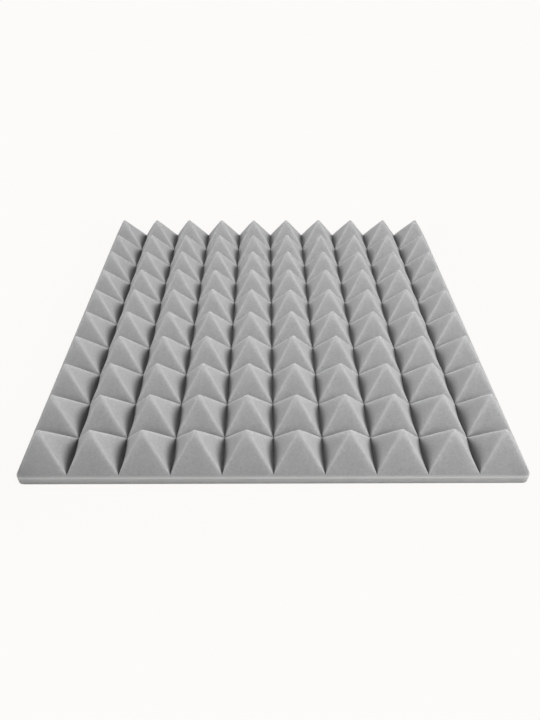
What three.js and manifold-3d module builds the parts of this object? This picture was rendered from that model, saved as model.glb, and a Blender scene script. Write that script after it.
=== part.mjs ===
// Pyramid acoustic foam tile, lying on its back with the pyramids up.
// Units are millimetres and +Z is up. The origin is on the surface that the tile
// lies on, under the centre of the tile. The front edge is at the lowest Y.
//
// The foam is one piece, cut from a single slab. On its back are strips of thin
// double-sided tape, and each strip still has its release liner.

import * as THREE from 'three';
import { mergeVertices } from 'three/addons/utils/BufferGeometryUtils.js';
import Module from 'manifold-3d';

// Foam tile
const tileSide = 500;
const pyramidsPerSide = 10;
const foamHeight = 50;
// height of the upright cut side, all round
const sideHeight = 10;
// height of the groove floor where two grooves cross
const crossingHeight = 12.5;
// flat that is left on top of each pyramid
const apexWidth = 2.4;
// corner of the tile seen from above, at its side and at the height of the apexes
const cornerRadius = 6;
const topCornerRadius = 1;

// Hollow in each groove, half way between two crossings
const hollowDepth = 7;
const hollowHalfWidth = 8.5;
// how far the ends of a hollow stay from the middle of a crossing
const hollowEndGap = 1;

// Tape strips and their release liners
const stripCount = 4;
const stripWidth = 38;
const stripLength = 430;
const stripThickness = 0.3;
const linerThickness = 0.15;
// the liner is this much wider than the tape on each side
const linerOverhang = 2;
// bare end of the liner, for the fingers
const linerTabLength = 20;
const linerCornerRadius = 6;

// One overrun serves all cuts
const overrun = 5;

// How a hollow deepens from its ends to its middle
const hollowSteps = 4;
// how far the sides of a hollow's cutter pass the walls that they cut
const hollowOutShare = 1.4;
const cornerSegments = 3;

const pitch = tileSide / pyramidsPerSide;
const halfPitch = pitch / 2;
const halfSide = tileSide / 2;
// half the width of a groove at the height of the apexes
const halfOpening = (pitch - apexWidth) / 2;
const grooveSlope = (foamHeight - crossingHeight) / halfOpening;
const foamBottom = linerThickness + stripThickness;

const foamMaterial = new THREE.MeshStandardMaterial({
  color: 0x9a9a9c,
  roughness: 0.95,
  metalness: 0,
});
const tapeMaterial = new THREE.MeshStandardMaterial({
  color: 0xe9e6dc,
  roughness: 0.55,
  metalness: 0,
});
const linerMaterial = new THREE.MeshStandardMaterial({
  color: 0xd9c79a,
  roughness: 0.4,
  metalness: 0,
});

// Solids for cutting

const wasm = await Module();
wasm.setup();

function toSolid(geometry) {
  const bare = geometry.clone();
  bare.deleteAttribute('normal');
  bare.deleteAttribute('uv');
  const merged = mergeVertices(bare);
  return new wasm.Manifold(new wasm.Mesh({
    numProp: 3,
    vertProperties: Float32Array.from(merged.attributes.position.array),
    triVerts: Uint32Array.from(merged.index.array),
  }));
}

function toGeometry(solid) {
  const mesh = solid.getMesh();
  const geometry = new THREE.BufferGeometry();
  const positions = new THREE.BufferAttribute(mesh.vertProperties, mesh.numProp);
  geometry.setAttribute('position', positions);
  geometry.setIndex(new THREE.BufferAttribute(mesh.triVerts, 1));
  geometry.computeVertexNormals();
  return geometry;
}

// Outline of a rectangle with rounded corners, centred on the origin
function roundedRectangle(width, length, radius) {
  const x = width / 2;
  const y = length / 2;
  const shape = new THREE.Shape();
  shape.moveTo(radius - x, -y);
  shape.lineTo(x - radius, -y);
  shape.absarc(x - radius, radius - y, radius, -Math.PI / 2, 0, false);
  shape.lineTo(x, y - radius);
  shape.absarc(x - radius, y - radius, radius, 0, Math.PI / 2, false);
  shape.lineTo(radius - x, y);
  shape.absarc(radius - x, y - radius, radius, Math.PI / 2, Math.PI, false);
  shape.lineTo(-x, radius - y);
  shape.absarc(radius - x, radius - y, radius, Math.PI, 1.5 * Math.PI, false);
  return shape;
}

function extrude(shape, depth) {
  return new THREE.ExtrudeGeometry(shape, {
    depth,
    bevelEnabled: false,
    curveSegments: cornerSegments,
  });
}

// Closed solid through outlines with equally many points, one above the other
function loft(outlines, heights) {
  const count = outlines[0].length;
  const last = (outlines.length - 1) * count;
  const positions = [];
  const faces = [];
  outlines.forEach((outline, ring) => {
    outline.forEach((point) => positions.push(point.x, point.y, heights[ring]));
  });
  for (let start = 0; start < last; start += count) {
    for (let i = 0; i < count; i += 1) {
      const here = start + i;
      const next = start + ((i + 1) % count);
      faces.push(here, next, next + count, here, next + count, here + count);
    }
  }
  for (let i = 1; i < count - 1; i += 1) {
    faces.push(0, i + 1, i, last, last + i, last + i + 1);
  }
  const geometry = new THREE.BufferGeometry();
  geometry.setAttribute('position', new THREE.Float32BufferAttribute(positions, 3));
  geometry.setIndex(faces);
  return geometry;
}

// Foam

// The tile before its grooves are cut: an upright side all round, and above it
// the outer faces of the border pyramids, which lean in to the apexes
function blockGeometry() {
  const foot = roundedRectangle(tileSide, tileSide, cornerRadius);
  const topSide = tileSide - 2 * halfOpening;
  const top = roundedRectangle(topSide, topSide, topCornerRadius);
  // the last point of an outline is its first point again
  const [footOutline, topOutline] = [foot, top].map(
    (shape) => shape.getPoints(cornerSegments).slice(0, -1),
  );
  return loft([footOutline, footOutline, topOutline], [0, sideHeight, foamHeight]);
}

// Cuts one groove along Y between two rows of pyramids
function grooveCutter() {
  const top = foamHeight + overrun;
  const length = tileSide + 2 * overrun;
  const section = new THREE.Shape([
    new THREE.Vector2(0, crossingHeight),
    new THREE.Vector2(halfOpening, foamHeight),
    new THREE.Vector2(halfOpening, top),
    new THREE.Vector2(-halfOpening, top),
    new THREE.Vector2(-halfOpening, foamHeight),
  ]);
  const bar = extrude(section, length);
  bar.rotateX(Math.PI / 2);
  bar.translate(0, length / 2, 0);
  return bar;
}

// Cuts the boat-shaped hollow in a groove along Y, from one crossing to the next.
// Its sections are V shapes, steeper than the groove, that deepen to the middle.
function hollowCutter() {
  const halfLength = halfPitch - hollowEndGap;
  const positions = [];
  const faces = [];
  for (let i = 1; i < hollowSteps; i += 1) {
    const along = (2 * i) / hollowSteps - 1;
    const swell = 1 - along * along;
    const keel = crossingHeight - hollowDepth * swell;
    const rim = crossingHeight + grooveSlope * hollowHalfWidth * swell;
    const x = hollowOutShare * hollowHalfWidth * swell;
    const z = keel + hollowOutShare * (rim - keel);
    const y = along * halfLength;
    positions.push(0, y, keel, x, y, z, -x, y, z);
  }
  const sections = hollowSteps - 1;
  const start = 3 * sections;
  const end = start + 1;
  positions.push(0, -halfLength, crossingHeight, 0, halfLength, crossingHeight);
  for (let side = 0; side < 3; side += 1) {
    const next = (side + 1) % 3;
    faces.push(start, side, next);
    for (let i = 0; i < sections - 1; i += 1) {
      const here = 3 * i;
      const there = here + 3;
      faces.push(here + side, there + side, there + next);
      faces.push(here + side, there + next, here + next);
    }
    const last = 3 * (sections - 1);
    faces.push(end, last + next, last + side);
  }
  const cutter = new THREE.BufferGeometry();
  cutter.setAttribute('position', new THREE.Float32BufferAttribute(positions, 3));
  cutter.setIndex(faces);
  return cutter;
}

// Cutters that repeat along X, with their copies turned to repeat along Y
function bothWays(cutters) {
  const turned = cutters.map((cutter) => cutter.rotate([0, 0, 90]));
  return cutters.concat(turned);
}

function foamGeometry() {
  const block = toSolid(blockGeometry());
  const groove = toSolid(grooveCutter());
  const hollow = toSolid(hollowCutter());
  const cutters = [];
  for (let i = 1; i < pyramidsPerSide; i += 1) {
    const x = i * pitch - halfSide;
    cutters.push(groove.translate([x, 0, 0]));
    for (let j = 0; j < pyramidsPerSide; j += 1) {
      const y = (j + 0.5) * pitch - halfSide;
      cutters.push(hollow.translate([x, y, 0]));
    }
  }
  const foam = bothWays(cutters).reduce((rest, cutter) => rest.subtract(cutter), block);
  return toGeometry(foam);
}

function makeFoamTile() {
  const tile = new THREE.Mesh(foamGeometry(), foamMaterial);
  tile.name = 'foam_tile';
  tile.position.z = foamBottom;
  return tile;
}

// Tape strip, cut square at both ends
function makeStrip(number) {
  const geometry = new THREE.BoxGeometry(stripWidth, stripLength, stripThickness);
  const strip = new THREE.Mesh(geometry, tapeMaterial);
  strip.name = `tape_strip_${number}`;
  strip.position.z = linerThickness + stripThickness / 2;
  return strip;
}

// Release liner, a little wider than its strip and longer by the tab at the front
function makeLiner(number) {
  const width = stripWidth + 2 * linerOverhang;
  const length = stripLength + linerTabLength + linerOverhang;
  const outline = roundedRectangle(width, length, linerCornerRadius);
  const liner = new THREE.Mesh(extrude(outline, linerThickness), linerMaterial);
  liner.name = `release_liner_${number}`;
  liner.position.y = (linerOverhang - linerTabLength) / 2;
  return liner;
}

const panel = new THREE.Group();
panel.add(makeFoamTile());
const stripPitch = tileSide / stripCount;
for (let i = 0; i < stripCount; i += 1) {
  const backing = new THREE.Group();
  backing.position.x = (i + 0.5) * stripPitch - halfSide;
  backing.add(makeStrip(i + 1), makeLiner(i + 1));
  panel.add(backing);
}

export default panel;
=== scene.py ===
# %% [markdown]
# # Acoustic foam tile
# A square tile of grey polyurethane foam that lies on its back. Its front is cut
# into ten rows of ten pyramids, and four strips of double-sided tape wait on its
# back under their paper liners. The lesson models the foam with edit-mode
# operators, gives each surface a finish made of nodes, and lights it softly.
#
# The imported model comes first. It is the frame that each new piece has to fit,
# and its box is measured now, before anything else is in the scene.

# %% Load the frame
from math import radians

import bmesh
import bpy
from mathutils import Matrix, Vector


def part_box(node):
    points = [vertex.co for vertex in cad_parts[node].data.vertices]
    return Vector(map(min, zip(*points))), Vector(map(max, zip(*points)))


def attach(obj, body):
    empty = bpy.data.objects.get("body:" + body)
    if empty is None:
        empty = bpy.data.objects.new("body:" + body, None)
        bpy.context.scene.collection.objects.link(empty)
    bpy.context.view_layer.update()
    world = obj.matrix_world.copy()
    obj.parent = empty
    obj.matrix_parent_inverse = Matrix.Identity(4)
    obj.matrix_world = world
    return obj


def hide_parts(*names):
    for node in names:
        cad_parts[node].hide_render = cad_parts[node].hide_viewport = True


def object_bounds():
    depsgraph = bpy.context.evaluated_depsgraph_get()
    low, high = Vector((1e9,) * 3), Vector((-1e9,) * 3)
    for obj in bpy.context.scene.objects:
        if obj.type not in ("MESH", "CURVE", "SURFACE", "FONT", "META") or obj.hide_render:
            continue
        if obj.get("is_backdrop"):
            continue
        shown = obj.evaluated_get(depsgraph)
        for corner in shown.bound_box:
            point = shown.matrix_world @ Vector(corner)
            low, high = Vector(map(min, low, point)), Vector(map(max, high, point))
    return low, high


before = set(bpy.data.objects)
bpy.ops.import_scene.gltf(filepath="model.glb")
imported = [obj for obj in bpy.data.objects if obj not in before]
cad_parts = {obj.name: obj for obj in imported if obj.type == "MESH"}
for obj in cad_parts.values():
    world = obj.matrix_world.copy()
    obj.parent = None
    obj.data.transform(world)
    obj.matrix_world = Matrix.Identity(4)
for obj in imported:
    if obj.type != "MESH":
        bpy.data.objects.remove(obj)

cad_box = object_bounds()
print("the CAD model reaches from", *cad_box)

# %% [markdown]
# The tile's measures come from the box of its CAD node, so that the new piece
# keeps the place and the size that the checks were made on. The pyramids' own
# measures are those that the foam was cut to: the upright side, the height of
# the groove floor where two grooves cross, and the apex to which the walls would
# run if nothing were rounded.

# %% Measures of the tile, in metres
low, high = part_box("foam_tile")
TILE = high.x - low.x
BACK = low.z
HEIGHT = high.z - low.z
PER_SIDE = 10
PITCH = TILE / PER_SIDE
HALF = PITCH / 2
SIDE = 0.010
CROSSING = 0.012
APEX = HEIGHT + 0.0025
CORNER = 0.006
WALL_SLOPE = (APEX - CROSSING) / HALF
print(f"tile {TILE:.3f} m, pitch {PITCH:.3f} m, walls rise {WALL_SLOPE:.2f} to 1")

# %% [markdown]
# ## Camera
# The photograph looks down at the tile from the front, a little left of its
# middle. The place, the turn and the lens come from a fit to the hundred tips,
# the grooves, both side outlines and the lower edge. The camera comes early, so
# that each later step can be rendered and held against the photograph.

# %% Place the camera
bpy.ops.object.select_all(action="DESELECT")
bpy.ops.object.camera_add(
    location=(-0.00714, -0.62112, 0.45807),
    rotation=(radians(50.913), radians(-0.157), radians(-0.337)),
)
camera = bpy.context.object
camera.data.lens = 29.49
camera.data.clip_start = 0.02
bpy.context.scene.camera = camera
print("the camera stands", round(camera.location.length, 3), "m from the tile's middle")

# %% [markdown]
# ## Tools for modelling
# An operator acts on all that is selected. Small helpers do what the mouse does
# by hand: they select whole pieces, pick the vertices, edges or faces that pass
# a test of their place or normal, cut a mesh along a plane, and apply a modifier.

# %% Select, cut and apply
MODES = {"verts": "VERT", "edges": "EDGE", "faces": "FACE"}


def select_only(active, *others):
    """Selects some pieces and nothing else, and makes the first one active."""
    bpy.ops.object.select_all(action="DESELECT")
    for piece in (active, *others):
        piece.select_set(True)
    bpy.context.view_layer.objects.active = active


def pick(kind, test):
    """Selects the vertices, edges or faces that pass a test, and counts them."""
    bpy.ops.mesh.select_mode(type=MODES[kind])
    bpy.ops.mesh.select_all(action="DESELECT")
    mesh = bmesh.from_edit_mesh(bpy.context.edit_object.data)
    chosen = [part for part in getattr(mesh, kind) if test(part)]
    for part in chosen:
        part.select_set(True)
    bmesh.update_edit_mesh(bpy.context.edit_object.data)
    return len(chosen)


def cut(place, normal, trim=False, where=lambda face: True):
    """Cuts faces along a plane, all or some, and may trim what lies in front of it."""
    pick("faces", where)
    bpy.ops.mesh.bisect(
        plane_co=place, plane_no=normal, clear_outer=trim, threshold=1e-6
    )


def apply(piece, kind, **settings):
    """Adds a modifier to a piece and applies it."""
    select_only(piece)
    modifier = piece.modifiers.new(kind, kind)
    for name, value in settings.items():
        setattr(modifier, name, value)
    bpy.ops.object.modifier_apply(modifier=modifier.name)


def count(piece):
    """The number of triangles of a piece."""
    return sum(len(face.vertices) - 2 for face in piece.data.polygons)


print("helpers: select_only, pick, cut, apply, count")

# %% [markdown]
# ## One pyramid
# A machine presses the foam block against a blade and cuts two tiles that fit
# into each other, so all pyramids are alike. Only the border rows differ: their
# outer faces run straight down to the tile's upright side, and the four corner
# pyramids have one rounded corner.
#
# So one function models a pyramid, and is told which of its sides are outer
# ones. It starts from a plane at the height of the upright side. The groove
# walls go on below the crossing there, which leaves something to trim. The
# plane is extruded up and drawn together to a sharp apex. Then planes cut it,
# some parallel to the walls and closer towards the grooves, others parallel to
# the ridges and closer towards these. Only the fan of faces at the tile's corner
# gets level rings instead. The cuts leave the shape as it is, and give the
# rounding and the hollows their vertices.

# %% Model a sharp pyramid
RUN_ON = (CROSSING - SIDE) / WALL_SLOPE
FOOT = HALF + RUN_ON
CORNER_STEPS = 6
WALL_CUTS = (0.007, 0.014, 0.0175, 0.021, 0.0235)
RIDGE_CUTS = (0.0013, 0.003, 0.0055)
RING_CUTS = (0.0013, 0.003, 0.0055, 0.010, 0.017)


def extrude_pyramid(name, outer_x, outer_y):
    """Models a sharp pyramid and leaves it in edit mode."""
    bpy.ops.mesh.primitive_plane_add(size=2 * FOOT, location=(0, 0, SIDE))
    piece = bpy.context.object
    piece.name = name
    bpy.ops.object.transform_apply(location=True)
    bpy.ops.object.mode_set(mode="EDIT")
    for outer, axis in ((outer_x, 0), (outer_y, 1)):
        if outer:
            pick("verts", lambda vert: vert.co[axis] > 0)
            back = Vector((0, 0, 0))
            back[axis] = -RUN_ON
            bpy.ops.transform.translate(value=back)
    if outer_x and outer_y:
        pick("verts", lambda vert: vert.co.x > 0 and vert.co.y > 0)
        bpy.ops.mesh.bevel(offset=CORNER, segments=CORNER_STEPS, affect="VERTICES")
    bpy.ops.mesh.select_all(action="SELECT")
    rise = (0, 0, APEX - SIDE)
    bpy.ops.mesh.extrude_region_move(TRANSFORM_OT_translate={"value": rise})
    bpy.ops.transform.resize(value=(0, 0, 1), center_override=(0, 0, 0))
    bpy.ops.mesh.remove_doubles(threshold=1e-5)
    pick("faces", lambda face: face.calc_center_median().z < SIDE + 1e-5)
    bpy.ops.mesh.delete(type="ONLY_FACE")
    return piece


def trim_to_cell(outer_x, outer_y):
    """Cuts off what reaches into the next pyramid's place."""
    sides = [(-1, 0), (0, -1)]
    if not outer_x:
        sides.append((1, 0))
    if not outer_y:
        sides.append((0, 1))
    for x, y in sides:
        cut((x * HALF, y * HALF, 0), (x, y, 0), trim=True)


def refine(outer_x, outer_y):
    """Cuts the walls into strips, which change nothing in the shape."""

    def is_fan(face):
        middle = face.calc_center_median()
        return outer_x and outer_y and middle.x > 0 and middle.y > 0

    def is_plain(face):
        return not is_fan(face)

    cut((0, 0, 0), (1, 0, 0))
    cut((0, 0, 0), (0, 1, 0))
    for sign in (-1, 1):
        for at in WALL_CUTS:
            cut((sign * at, 0, 0), (1, 0, 0), where=is_plain)
            cut((0, sign * at, 0), (0, 1, 0), where=is_plain)
        for at in RIDGE_CUTS:
            cut((sign * at, 0, 0), (1, 1, 0), where=is_plain)
            cut((sign * at, 0, 0), (1, -1, 0), where=is_plain)
    for at in RING_CUTS if outer_x and outer_y else ():
        cut((0, 0, APEX - at * WALL_SLOPE), (0, 0, 1), where=is_fan)


print(f"a pyramid's foot is {2 * FOOT * 1000:.1f} mm before it is trimmed")

# %% [markdown]
# ## Ridges, tip and hollows
# The knife leaves the ridges a little round and the tip blunt. And half way
# between two crossings each groove sinks into a shallow, boat-shaped hollow with
# pointed ends, because the foam is squeezed there while it is cut. The hollows
# stay shallow, since the ridges beside them look straight in the photograph.
#
# All of this only lowers the sharp pyramid, by an amount that can be worked out
# at each vertex. Places are measured by wall distance: how far out an inner wall
# would be as low. That lets the steeper outer walls share the rules.

# %% Round the ridges and the tip
RIDGE_ROUND = 0.16
TIP_LOWER = 0.0031
TIP_BLUNT = TIP_LOWER / WALL_SLOPE
OUTER_STEEPER = (APEX - SIDE) / (APEX - CROSSING)


def wall_distances(vert, outer_x, outer_y):
    """The place of a vertex, with outer sides stretched to where inner ones reach."""
    along_x, along_y, _ = vert.co
    if outer_x and along_x > 0:
        along_x *= OUTER_STEEPER
    if outer_y and along_y > 0:
        along_y *= OUTER_STEEPER
    return along_x, along_y


def rounding(out, gap):
    """How much wider the rounded pyramid is, at a wall distance and ridge distance."""
    width = min(out, RIDGE_ROUND * (HALF - out))
    rounded = out
    if gap < width:
        rounded += width / 4 * (1 - gap / width) ** 2
    share = min(max(out / HALF, 0), 1)
    blunt = TIP_BLUNT * (1 - share ** 1.5)
    return (rounded ** 2 + blunt ** 2) ** 0.5 - out


for out in (0.0, 0.005, 0.010, 0.020):
    drop = rounding(out, 0) * WALL_SLOPE
    print(f"{out * 1000:.0f} mm out, the ridge is {drop * 1000:.1f} mm lower")

# %% [markdown]
# A hollow could be cut with a boat-shaped tool, but that leaves a hard rim. It
# follows two rules here instead. Along the groove its width swells from nothing
# at a crossing to the full width half way. Across it, the depth falls off fast
# from the groove's floor. A vertex group holds what each vertex sinks, with the
# rounding added, and one Displace modifier lowers the foam by it.

# %% Sink the hollows
HOLLOW_DEPTH = 0.0045
HOLLOW_WIDTH = 0.0110
HOLLOW_POWER = 2.2
DEEPEST = HOLLOW_DEPTH + TIP_LOWER


def sinking(along, across):
    """How far a place sinks, from 0 to 1, by its place along and across a groove."""
    swell = max(1e-6, 1 - (along / HALF) ** 2)
    wall = max(0, 1 - across / (HOLLOW_WIDTH * swell))
    return swell ** 1.5 * wall ** HOLLOW_POWER


def lower(piece, outer_x, outer_y):
    """Rounds a sharp pyramid and sinks its hollows."""
    amounts = []
    for vert in piece.data.vertices:
        x, y = wall_distances(vert, outer_x, outer_y)
        fan = outer_x and outer_y and x > 0 and y > 0
        out = (APEX - vert.co.z) / WALL_SLOPE
        gap = HALF if fan else abs(abs(x) - abs(y))
        near = [sinking(y, HALF + x), sinking(x, HALF + y)]
        if not outer_x:
            near.append(sinking(y, HALF - x))
        if not outer_y:
            near.append(sinking(x, HALF - y))
        amounts.append(rounding(out, gap) * WALL_SLOPE + max(near) * HOLLOW_DEPTH)
    group = piece.vertex_groups.new(name="lowered")
    for index, amount in enumerate(amounts):
        group.add([index], amount / DEEPEST, "REPLACE")
    apply(
        piece, "DISPLACE", direction="Z", mid_level=0, strength=-DEEPEST,
        vertex_group="lowered",
    )
    piece.vertex_groups.clear()


print(f"hollows: {HOLLOW_DEPTH * 1000:.1f} mm deep, {HOLLOW_WIDTH * 2000:.0f} mm wide")

# %% [markdown]
# Each pyramid carries two small maps of its own, laid down before the copies are
# made, so that the foam's finish can later find the same places on all hundred
# of them. The first holds the wall distances, with the tip at zero. The second
# is the same, but stays at zero on an outer side, because no groove runs there.

# %% Model the three kinds of pyramid


def lay_maps(piece, outer_x, outer_y):
    """Writes the two maps of a pyramid."""
    while piece.data.uv_layers:
        piece.data.uv_layers.remove(piece.data.uv_layers[0])
    for name in ("pyramid", "groove"):
        piece.data.uv_layers.new(name=name)
    pyramid_map, groove_map = piece.data.uv_layers
    for loop in piece.data.loops:
        vert = piece.data.vertices[loop.vertex_index]
        x, y = (out / PITCH for out in wall_distances(vert, outer_x, outer_y))
        pyramid_map.data[loop.index].uv = (x, y)
        groove_map.data[loop.index].uv = (
            min(x, 0) if outer_x else x, min(y, 0) if outer_y else y,
        )


def pyramid(name, outer_x=False, outer_y=False):
    """Models one kind of pyramid, from the plane to its hollows."""
    bpy.ops.object.select_all(action="DESELECT")
    piece = extrude_pyramid(name, outer_x, outer_y)
    trim_to_cell(outer_x, outer_y)
    refine(outer_x, outer_y)
    bpy.ops.object.mode_set(mode="OBJECT")
    lay_maps(piece, outer_x, outer_y)
    lower(piece, outer_x, outer_y)
    top = max(vert.co.z for vert in piece.data.vertices)
    print(piece.name, count(piece), "triangles, tip at", round(top * 1000, 2), "mm")
    return piece


inner = pyramid("inner_pyramid")
border = pyramid("border_pyramid", outer_x=True)
corner = pyramid("corner_pyramid", outer_x=True, outer_y=True)

# %% [markdown]
# ## The whole front
# Sixty-four inner pyramids make an eight by eight field. Around it goes a ring:
# eight border pyramids and one corner make a quarter of it, which is copied and
# turned three times. Array modifiers place what stands in rows. Then all is
# joined, and the vertices that meet become one, so that the foam is one skin.

# %% Lay out the pyramids
INNER = PER_SIDE - 2
FIRST = -(INNER - 1) / 2 * PITCH
LAST = (PER_SIDE - 1) / 2 * PITCH
MEET = 0.00003


def shift(piece, x, y):
    """Moves a piece, but leaves its origin at the middle of the tile."""
    piece.location = (x, y, 0)
    select_only(piece)
    bpy.ops.object.transform_apply(location=True)


def row(piece, step):
    """Repeats a piece at equal steps, once for each inner pyramid of a row."""
    apply(
        piece, "ARRAY", count=INNER, use_relative_offset=False,
        use_constant_offset=True, constant_offset_displace=step,
        use_merge_vertices=True, merge_threshold=MEET,
    )


def join(target, *others):
    """Makes several pieces one, under the name of the first."""
    select_only(target, *others)
    bpy.ops.object.join()


shift(inner, FIRST, FIRST)
row(inner, (PITCH, 0, 0))
row(inner, (0, PITCH, 0))
shift(border, LAST, FIRST)
row(border, (0, PITCH, 0))
shift(corner, LAST, LAST)
join(border, corner)
bpy.ops.object.mode_set(mode="EDIT")
bpy.ops.mesh.select_all(action="SELECT")
for _ in range(3):
    bpy.ops.mesh.duplicate()
    bpy.ops.transform.rotate(
        value=radians(90), orient_axis="Z", center_override=(0, 0, 0)
    )
bpy.ops.object.mode_set(mode="OBJECT")
foam = inner
join(foam, border)
foam.name = foam.data.name = "acoustic_foam"
bpy.ops.object.mode_set(mode="EDIT")
bpy.ops.mesh.select_all(action="SELECT")
bpy.ops.mesh.remove_doubles(threshold=MEET)
open_edges = pick("edges", lambda edge: edge.is_boundary)
stray = pick("edges", lambda edge: edge.is_boundary and edge.verts[0].co.z > SIDE + 1e-4)
print(open_edges, "edges are open, of which", stray, "lie above the side")

# %% [markdown]
# ## The upright side and the back
# Below the pyramids the tile is a plain slab, cut square. The open edge that is
# left all round is extruded down to the back in steps, and one flat face closes
# it. Soft foam doesn't hold a sharp corner, and the photograph shows a light
# line along the side's upper edge. So the loop is drawn in a little at each
# edge, which rounds it. A bevel would stumble over the many short edges there.

# %% Close the slab
EDGE_IN = 0.00015
EDGE_DOWN = 0.0009
BACK_IN = 0.0004
BACK_DOWN = 0.0006


def draw_in(amount):
    """Draws the selected outline in by an amount on each side."""
    share = 1 - amount / (TILE / 2)
    bpy.ops.transform.resize(value=(share, share, 1), center_override=(0, 0, 0))


def step_down(depth, amount):
    """Extrudes the selected outline down, and draws the new one in."""
    bpy.ops.mesh.extrude_region_move(TRANSFORM_OT_translate={"value": (0, 0, -depth)})
    draw_in(amount)


pick("edges", lambda edge: edge.is_boundary)
draw_in(EDGE_IN)
step_down(EDGE_DOWN, -EDGE_IN)
step_down(SIDE - EDGE_DOWN - BACK_DOWN, 0)
step_down(BACK_DOWN, BACK_IN)
bpy.ops.mesh.edge_face_add()
bpy.ops.mesh.select_all(action="SELECT")
bpy.ops.mesh.normals_make_consistent(inside=False)
bpy.ops.transform.translate(value=(0, 0, BACK))
open_edges = pick("edges", lambda edge: edge.is_boundary)
bpy.ops.object.mode_set(mode="OBJECT")
print("slab closed,", open_edges, "edges are open,", foam.dimensions.x, "m wide")

# %% [markdown]
# ## Soft and uneven
# A blade doesn't cut foam exactly: walls waver, and all tips lean a little to
# one side. A Displace modifier with a slow cloud texture moves the front in all
# three directions. The texture is a formula and gives the same foam each time.
# A second one leans the pyramids to the left. A vertex group keeps the slab
# straight, and lets the foam above it move more and more towards the tips.

# %% Make the cut uneven
WAVER = 0.0016
WAVER_SIZE = 0.045
LEAN = 0.0012
FREE_POWER = 0.7

clouds = bpy.data.textures.new("waver", "CLOUDS")
clouds.cloud_type = "COLOR"
clouds.noise_scale = WAVER_SIZE
free = foam.vertex_groups.new(name="free")
for vert in foam.data.vertices:
    above = (vert.co.z - BACK - CROSSING) / (HEIGHT - CROSSING)
    free.add([vert.index], min(max(above, 0), 1) ** FREE_POWER, "REPLACE")
apply(
    foam, "DISPLACE", texture=clouds, texture_coords="LOCAL",
    direction="RGB_TO_XYZ", strength=WAVER, mid_level=0.5, vertex_group="free",
)
apply(foam, "DISPLACE", direction="X", mid_level=0, strength=-LEAN, vertex_group="free")
foam.vertex_groups.clear()
bpy.ops.object.shade_smooth_by_angle(angle=radians(40))
lowest = min(vert.co.z for vert in foam.data.vertices)
highest = max(vert.co.z for vert in foam.data.vertices)
print(f"foam {count(foam)} triangles, {lowest * 1000:.2f} to {highest * 1000:.2f} mm")

# %% [markdown]
# ## Tools for finishes
# A finish is a material made of nodes. Shader maths reads best as ordinary
# expressions, so a small class wraps a socket and turns each operator into a
# Math node. Any other node is made by one method, which takes its settings
# first and then the values or links of its inputs.

# %% Write shader maths as expressions


class Signal:
    """A socket that adds a Math node when it is used in an expression."""

    def __init__(self, finish, socket):
        self.finish = finish
        self.socket = socket

    def maths(self, operation, *values):
        settings = {"operation": operation}
        return self.finish.node("ShaderNodeMath", settings, dict(enumerate(values)))

    def __add__(self, other):
        return self.maths("ADD", self, other)

    def __sub__(self, other):
        return self.maths("SUBTRACT", self, other)

    def __rsub__(self, other):
        return self.maths("SUBTRACT", other, self)

    def __mul__(self, other):
        return self.maths("MULTIPLY", self, other)

    def __truediv__(self, other):
        return self.maths("DIVIDE", self, other)

    def __pow__(self, other):
        return self.maths("POWER", self, other)

    def __abs__(self):
        return self.maths("ABSOLUTE", self)

    def at_least(self, other):
        return self.maths("MAXIMUM", self, other)


class Finish:
    """A material with its shader, and the one method that adds nodes to it."""

    def __init__(self, name):
        self.material = bpy.data.materials.new(name)
        self.material.use_nodes = True
        self.nodes = self.material.node_tree.nodes
        self.links = self.material.node_tree.links
        self.shader = self.nodes["Principled BSDF"]

    def node(self, kind, settings=None, inputs=None, output=0):
        made = self.nodes.new(kind)
        for name, value in (settings or {}).items():
            setattr(made, name, value)
        self.feed(made, inputs or {})
        return Signal(self, made.outputs[output])

    def feed(self, made, inputs):
        for key, value in inputs.items():
            if isinstance(value, Signal):
                self.links.new(value.socket, made.inputs[key])
            else:
                made.inputs[key].default_value = value

    def parts(self, vector):
        """The three numbers of a vector."""
        first = self.node("ShaderNodeSeparateXYZ", None, {0: vector})
        return [Signal(self, socket) for socket in first.socket.node.outputs]

    def map_parts(self, name):
        """The two numbers of a UV map."""
        return self.parts(self.node("ShaderNodeUVMap", {"uv_map": name}))[:2]

    def smooth(self, value, start, end, low=0.0, high=1.0):
        """Goes softly from low to high while value goes from start to end."""
        inputs = {0: value, 1: start, 2: end, 3: low, 4: high}
        return self.node("ShaderNodeMapRange", {"interpolation_type": "SMOOTHSTEP"}, inputs)

    def between(self, share, first, second):
        """Mixes two colours."""
        inputs = {0: share, 6: first, 7: second}
        settings = {"data_type": "RGBA", "clamp_factor": True}
        return self.node("ShaderNodeMix", settings, inputs, output=2)


print("helpers: Signal, Finish")

# %% [markdown]
# ## The foam's finish
# Open-cell foam is matt and has no skin. Its cells are under a millimetre, so
# from here they are only a fine grain, with mottles of a few millimetres and
# slow cloudy patches. Four textures in the tile's own frame are added up to one
# speckle, which mixes two greys.

# %% Mix the foam's two greys
CELL = 0.0009
GREY = (0.42, 0.42, 0.424, 1)
PALE = (0.56, 0.56, 0.563, 1)

foam_finish = Finish("foam_open_cell")
place = foam_finish.node("ShaderNodeTexCoord", output="Object")
cells = foam_finish.node(
    "ShaderNodeTexVoronoi", {"feature": "F1"},
    {"Vector": place, "Scale": 1 / CELL, "Randomness": 1.0}, output="Distance",
)


def foam_noise(scale, detail, roughness):
    """A noise from 0 to 1, whose scale is in waves per metre."""
    return foam_finish.node(
        "ShaderNodeTexNoise", {"noise_dimensions": "3D"},
        {"Vector": place, "Scale": scale, "Detail": detail, "Roughness": roughness},
    )


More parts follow.
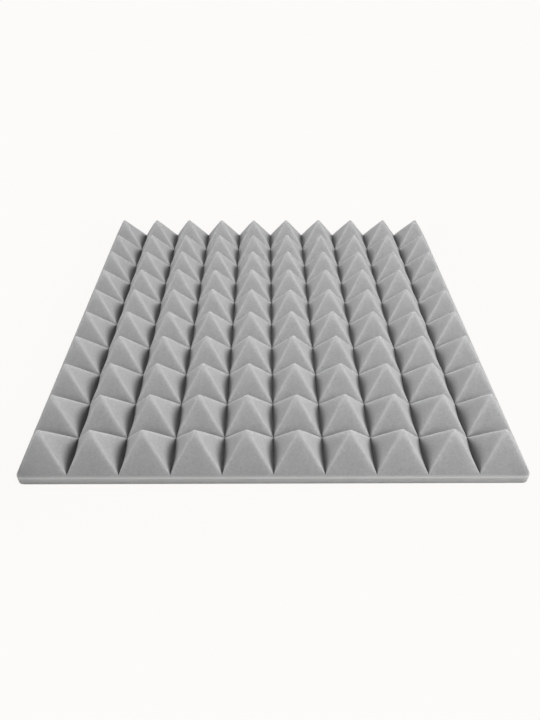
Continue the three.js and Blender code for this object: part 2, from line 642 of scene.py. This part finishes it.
grain = foam_noise(900.0, 2.0, 0.6)
mottles = foam_noise(330.0, 2.0, 0.6)
patches = foam_noise(45.0, 3.0, 0.55)
speckle = (cells - 0.45) * 0.55 + (grain - 0.5) * 0.9 + (patches - 0.5) * 0.35
speckle = speckle + (mottles - 0.5) * 0.9
foam_colour = foam_finish.between(foam_finish.smooth(speckle, -0.6, 0.6), GREY, PALE)
print("the foam's cells are", CELL * 1000, "mm wide")

# %% [markdown]
# Light is painted into the colour here. Along the ridges and along the side's
# upper edge a painted highlight makes these lines lighter than the faces, where
# the cut cells catch light from both sides. The ridge's line fades out at the tip
# and towards the crossings. Near the tip all walls but those that face right get
# a little painted light. The upright side gets painted light too, most of all
# near the ground, which lights it from below.
#
# Each pyramid's first map tells how far a point is from its ridges and its tip.
# The height in the tile's own frame tells the side from the front.

# %% Paint the highlights
RIDGE_LINE = 0.0030
RIM_LINE = 0.0014
RIM_BELOW_TOP = 0.0012
SIDE_TOP = BACK + SIDE
LIT_RIDGE = (0.68, 0.68, 0.68, 1)
LIT_SIDE = (0.76, 0.76, 0.76, 1)
LIT_RIM = (0.88, 0.88, 0.88, 1)

out_x, out_y = foam_finish.map_parts("pyramid")
from_ridge = abs(abs(out_x) - abs(out_y)) * PITCH
from_tip = abs(out_x).at_least(abs(out_y)) * PITCH
height_here = foam_finish.parts(place)[2]
facing = foam_finish.node("ShaderNodeTexCoord", output="Normal")
facing_x, facing_y, _ = foam_finish.parts(facing)

on_front = foam_finish.smooth(height_here, SIDE_TOP, SIDE_TOP + 0.002)
# Painted highlight along the ridges, fading out at the tip and near the crossings.
ridge = foam_finish.smooth(from_ridge, 0.0, RIDGE_LINE, 1.0, 0.0)
ridge = ridge * foam_finish.smooth(from_tip, 0.001, 0.011)
ridge = ridge * foam_finish.smooth(from_tip, 0.015, 0.0225, 1.0, 0.0)
# Painted light near the tip, left out on the walls that face right.
tip_painted_light = foam_finish.smooth(from_tip, 0.002, 0.012, 0.11, 0.0)
tip_painted_light = tip_painted_light * foam_finish.smooth(facing_x, 0.1, 0.5, 1.0, 0.0)
foam_colour = foam_finish.between(
    ridge * on_front * 0.13 + tip_painted_light, foam_colour, LIT_RIDGE)

# Painted light on the upright side, strongest near the ground, which stands in for light
# bounced up from it.
side_painted_light = foam_finish.smooth(height_here, BACK, BACK + 0.006, 1.0, 0.7)
foam_colour = foam_finish.between((1 - on_front) * side_painted_light, foam_colour, LIT_SIDE)
# Painted highlight along the side's upper edge.
from_rim = abs(height_here - (SIDE_TOP - RIM_BELOW_TOP))
rim_painted_highlight = foam_finish.smooth(from_rim, 0.0, RIM_LINE, 1.0, 0.0)
foam_colour = foam_finish.between(rim_painted_highlight * 0.9, foam_colour, LIT_RIM)
print("the ridges' light lines are", RIDGE_LINE * 2000, "mm wide")

# %% [markdown]
# The grooves lie in shade, and that shade is painted into the colour. Each
# groove carries a dark leaf of painted shade, widest half way between two
# crossings, and each crossing has a painted shade of its own. The leaf is darkest
# on the walls that face right, paler on those that face left, and palest on those
# that face the front or the back. The outer walls at the front get a little
# painted shade, and so does the very tip.
#
# Each pyramid's second map tells how far a point is from its grooves. The
# surface's direction in the tile's own frame tells the four walls apart.

# %% Paint shade into the grooves
# LEAF_GREY is the colour of the painted shade in the grooves.
LEAF_POWER = 1.5
BLACK = (0.0, 0.0, 0.0, 1)
LEAF_GREY = (0.04, 0.04, 0.04, 1)

groove_x, groove_y = foam_finish.map_parts("groove")


def leaf(along, across):
    """How dark a groove's painted shade is, from 0 to 1, by the maps along and across it.
    """
    swell = (1 - along * along * 4).at_least(0.0001)
    from_floor = HALF - abs(across) * PITCH
    wall = (1 - from_floor / (swell * HOLLOW_WIDTH)).at_least(0)
    return wall ** LEAF_POWER


# Painted shade on the outer walls that face the front, at the very tip and at the
# crossings.
outer_wall = out_x - groove_x + (out_y - groove_y)
shade = outer_wall * foam_finish.smooth(0 - facing_y, 0.2, 0.6, 0.0, 0.22)
shade = shade + foam_finish.smooth(from_tip, 0.0005, 0.0035, 0.12, 0.0)
shade = shade + foam_finish.smooth(abs(groove_x * groove_y), 0.19, 0.248, 0.0, 0.42)
foam_colour = foam_finish.between(shade, foam_colour, BLACK)

# The leaves of painted shade, set by which way each wall faces.
leaves = leaf(out_y, groove_x).at_least(leaf(out_x, groove_y))
turned = foam_finish.smooth(facing_x, -0.5, 0.6, 0.86, 1.15)
leaves = leaves * (turned - foam_finish.smooth(abs(facing_y), 0.3, 0.7, 0.0, 0.33))
foam_colour = foam_finish.between(
    foam_finish.smooth(leaves, 0.09, 0.935, 0.0, 0.95), foam_colour, LEAF_GREY)
print("a leaf is", HOLLOW_WIDTH * 2000, "mm wide at its middle")

# %% [markdown]
# The colour now goes to the shader. Light enters foam and comes out a little way
# off, so the surface is fully subsurface. That is what keeps the shaded faces
# soft. A weak bump of cells and grain gives the surface its tooth.

# %% Finish the foam
SCATTER = 0.018

bump = foam_finish.node(
    "ShaderNodeBump", None,
    {"Strength": 0.35, "Distance": 0.0004, "Height": cells * 0.7 + grain * 0.6},
)
foam_finish.feed(foam_finish.shader, {
    "Base Color": foam_colour,
    "Roughness": foam_finish.smooth(grain, 0.2, 0.8, 0.9, 1.0),
    "Normal": bump,
    "Specular IOR Level": 0.15,
    "Sheen Weight": 0.15,
    "Sheen Roughness": 0.6,
    "Subsurface Weight": 1.0,
    "Subsurface Radius": (1.0, 1.0, 1.0),
    "Subsurface Scale": SCATTER,
})
foam.data.materials.clear()
foam.data.materials.append(foam_finish.material)
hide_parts("foam_tile")
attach(foam, "panel")
print("foam finish:", len(foam_finish.nodes), "nodes")

# %% [markdown]
# ## Liners and tape
# A liner is paper with a silicone coat on the side of the tape: yellowish, a
# little glossy, with short fibres that all lie about the same way. It lies flat
# on its tape, so it keeps its CAD mesh and only gets a finish. A noise stretched
# along the strip makes the fibres, and a slow one makes the clouds in the paper.

# %% Finish the liners
PAPER_DARK = (0.55, 0.43, 0.24, 1)
PAPER_LIGHT = (0.68, 0.56, 0.34, 1)
FIBRES_PER_METRE = (1400.0, 160.0, 400.0)

liner_finish = Finish("liner_silicone_paper")
place = liner_finish.node("ShaderNodeTexCoord", output="Object")
stretched = liner_finish.node(
    "ShaderNodeMapping", None, {"Vector": place, "Scale": FIBRES_PER_METRE},
)
fibres = liner_finish.node(
    "ShaderNodeTexNoise", None,
    {"Vector": stretched, "Scale": 1.0, "Detail": 3.0, "Roughness": 0.65},
)
clouding = liner_finish.node(
    "ShaderNodeTexNoise", None, {"Vector": place, "Scale": 70.0, "Detail": 4.0},
)
paper_tone = liner_finish.smooth(fibres * 0.7 + clouding * 0.3, 0.35, 0.65)
liner_bump = liner_finish.node(
    "ShaderNodeBump", None, {"Strength": 0.2, "Distance": 0.0001, "Height": fibres},
)
liner_finish.feed(liner_finish.shader, {
    "Base Color": liner_finish.between(paper_tone, PAPER_DARK, PAPER_LIGHT),
    "Roughness": liner_finish.smooth(clouding, 0.3, 0.7, 0.38, 0.52),
    "Normal": liner_bump,
})
print("liner finish:", len(liner_finish.nodes), "nodes")

# %% [markdown]
# The tape is a thin film with adhesive on both sides. Only its cut edge shows
# until the liner is pulled off. It is as plain as its CAD mesh, and keeps that
# too. The adhesive has shallow ripples, and one noise varies its colour, its
# gloss and its bump together. Then each strip and liner gets its finish.

# %% Finish the tape
FILM_DARK = (0.76, 0.75, 0.70, 1)
FILM_LIGHT = (0.84, 0.83, 0.79, 1)

tape_finish = Finish("tape_film")
place = tape_finish.node("ShaderNodeTexCoord", output="Object")
ripple = tape_finish.node(
    "ShaderNodeTexNoise", None, {"Vector": place, "Scale": 120.0, "Detail": 3.0},
)
tape_bump = tape_finish.node(
    "ShaderNodeBump", None, {"Strength": 0.25, "Distance": 0.0002, "Height": ripple},
)
tape_finish.feed(tape_finish.shader, {
    "Base Color": tape_finish.between(ripple, FILM_DARK, FILM_LIGHT),
    "Roughness": tape_finish.smooth(ripple, 0.3, 0.7, 0.25, 0.45),
    "Normal": tape_bump,
})

for name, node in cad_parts.items():
    for start, finish in (("release_liner", liner_finish), ("tape_strip", tape_finish)):
        if name.startswith(start):
            for slot in node.material_slots:
                slot.material = finish.material
            print(name, "has", finish.material.name)

# %% [markdown]
# ## Floor and light
# The tile lies on a seamless white ground. What the camera sees of it glows in
# one even white, and only close to the tile a little of the lit ground is mixed
# in, which keeps a very faint shadow. To the light that bounces off it the
# ground is darker than to the camera, or it would light the tile's side too
# much from below.

# %% Lay the floor
GROUND = (0.982, 0.965, 0.947, 1)
GROUND_SEEN = (0.95, 0.935, 0.92, 1)
GROUND_BOUNCE = (0.60, 0.59, 0.58, 1)
FLOOR_SIZE = 14
BELOW_TILE = 0.0001
SHADOW_START = TILE / 2 + 0.01
SHADOW_END = TILE / 2 + 0.12
GLOW_AT_TILE = 0.955

bpy.ops.object.select_all(action="DESELECT")
bpy.ops.mesh.primitive_plane_add(size=FLOOR_SIZE, location=(0, 0, -BELOW_TILE))
floor = bpy.context.object
floor.name = "floor"
bpy.ops.object.transform_apply(location=True)
floor_finish = Finish("floor_white")
seen = floor_finish.node("ShaderNodeLightPath", output="Is Camera Ray")
glow = floor_finish.node("ShaderNodeEmission", None, {"Color": GROUND, "Strength": 1.0})
ground_place = floor_finish.node("ShaderNodeTexCoord", output="Object")
ground_x, ground_y, _ = floor_finish.parts(ground_place)
away = abs(ground_x).at_least(abs(ground_y))
glowing = floor_finish.smooth(away, SHADOW_START, SHADOW_END, GLOW_AT_TILE, 1.0)
floor_finish.feed(floor_finish.shader, {
    "Base Color": floor_finish.between(seen, GROUND_BOUNCE, GROUND_SEEN),
    "Roughness": 0.9,
    "Specular IOR Level": 0.0,
})
body = Signal(floor_finish, floor_finish.shader.outputs[0])
mixed = floor_finish.node(
    "ShaderNodeMixShader", None, {0: seen * glowing, 1: body, 2: glow},
)
floor_finish.links.new(mixed.socket, floor_finish.nodes["Material Output"].inputs[0])
floor.data.materials.append(floor_finish.material)
floor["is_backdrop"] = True
print("the floor's shadow fades out", SHADOW_END, "m from the middle")

# %% [markdown]
# A pale sky lights the tile evenly from all round. The camera sees the ground's
# white in its place, so that the background keeps its tone at any strength of
# the light, and so do rays that mirror it.

# %% Set the sky
SKY = 0.365

world = bpy.data.worlds.new("soft_sky")
bpy.context.scene.world = world
world.use_nodes = True
sky_nodes, sky_links = world.node_tree.nodes, world.node_tree.links
sky = sky_nodes["Background"]
sky.inputs["Color"].default_value = (1, 1, 1, 1)
sky.inputs["Strength"].default_value = SKY
backdrop = sky_nodes.new("ShaderNodeBackground")
backdrop.inputs["Color"].default_value = GROUND
backdrop.inputs["Strength"].default_value = 1
path = sky_nodes.new("ShaderNodeLightPath")
either = sky_nodes.new("ShaderNodeMath")
either.operation = "MAXIMUM"
sky_links.new(path.outputs["Is Camera Ray"], either.inputs[0])
sky_links.new(path.outputs["Is Glossy Ray"], either.inputs[1])
choice = sky_nodes.new("ShaderNodeMixShader")
sky_links.new(either.outputs[0], choice.inputs[0])
sky_links.new(sky.outputs[0], choice.inputs[1])
sky_links.new(backdrop.outputs[0], choice.inputs[2])
sky_links.new(choice.outputs[0], sky_nodes["World Output"].inputs[0])
print("the sky's strength is", SKY)

# %% [markdown]
# Two lamps shape the light. A large one from the right front leaves the left
# faces darkest and the right faces lightest. A smaller one close above the
# middle makes the middle rows a little lighter than the border. The strengths
# of lamps and sky were found by rendering the tile under each alone and weighing
# the pictures against the photograph.

# %% Hang the lamps


def hang_lamp(name, place, width, watts):
    """Adds a square lamp that points at the middle of the tile."""
    bpy.ops.object.light_add(type="AREA", location=place)
    lamp = bpy.context.object
    lamp.name = name
    lamp.data.shape = "SQUARE"
    lamp.data.size = width
    lamp.data.energy = watts
    lamp.rotation_euler = Vector(place).to_track_quat("Z", "Y").to_euler()
    lamp.visible_camera = False
    print(name, width, "m wide,", watts, "W")


hang_lamp("right_front_lamp", (0.52, -0.58, 0.92), 0.8, 5.9)
hang_lamp("lamp_above", (0, 0.05, 0.75), 0.5, 2.0)
bpy.context.scene.view_settings.view_transform = "Standard"

# %% [markdown]
# ## The sizes
# The new foam has to stay in the CAD model's box, apart from the little that
# soft foam may stand proud. Both boxes are printed, in millimetres.

# %% Print the sizes
seen_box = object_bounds()
for name, corners in (("CAD", cad_box), ("visual", seen_box)):
    print(name, [round(value * 1000, 2) for point in corners for value in point])
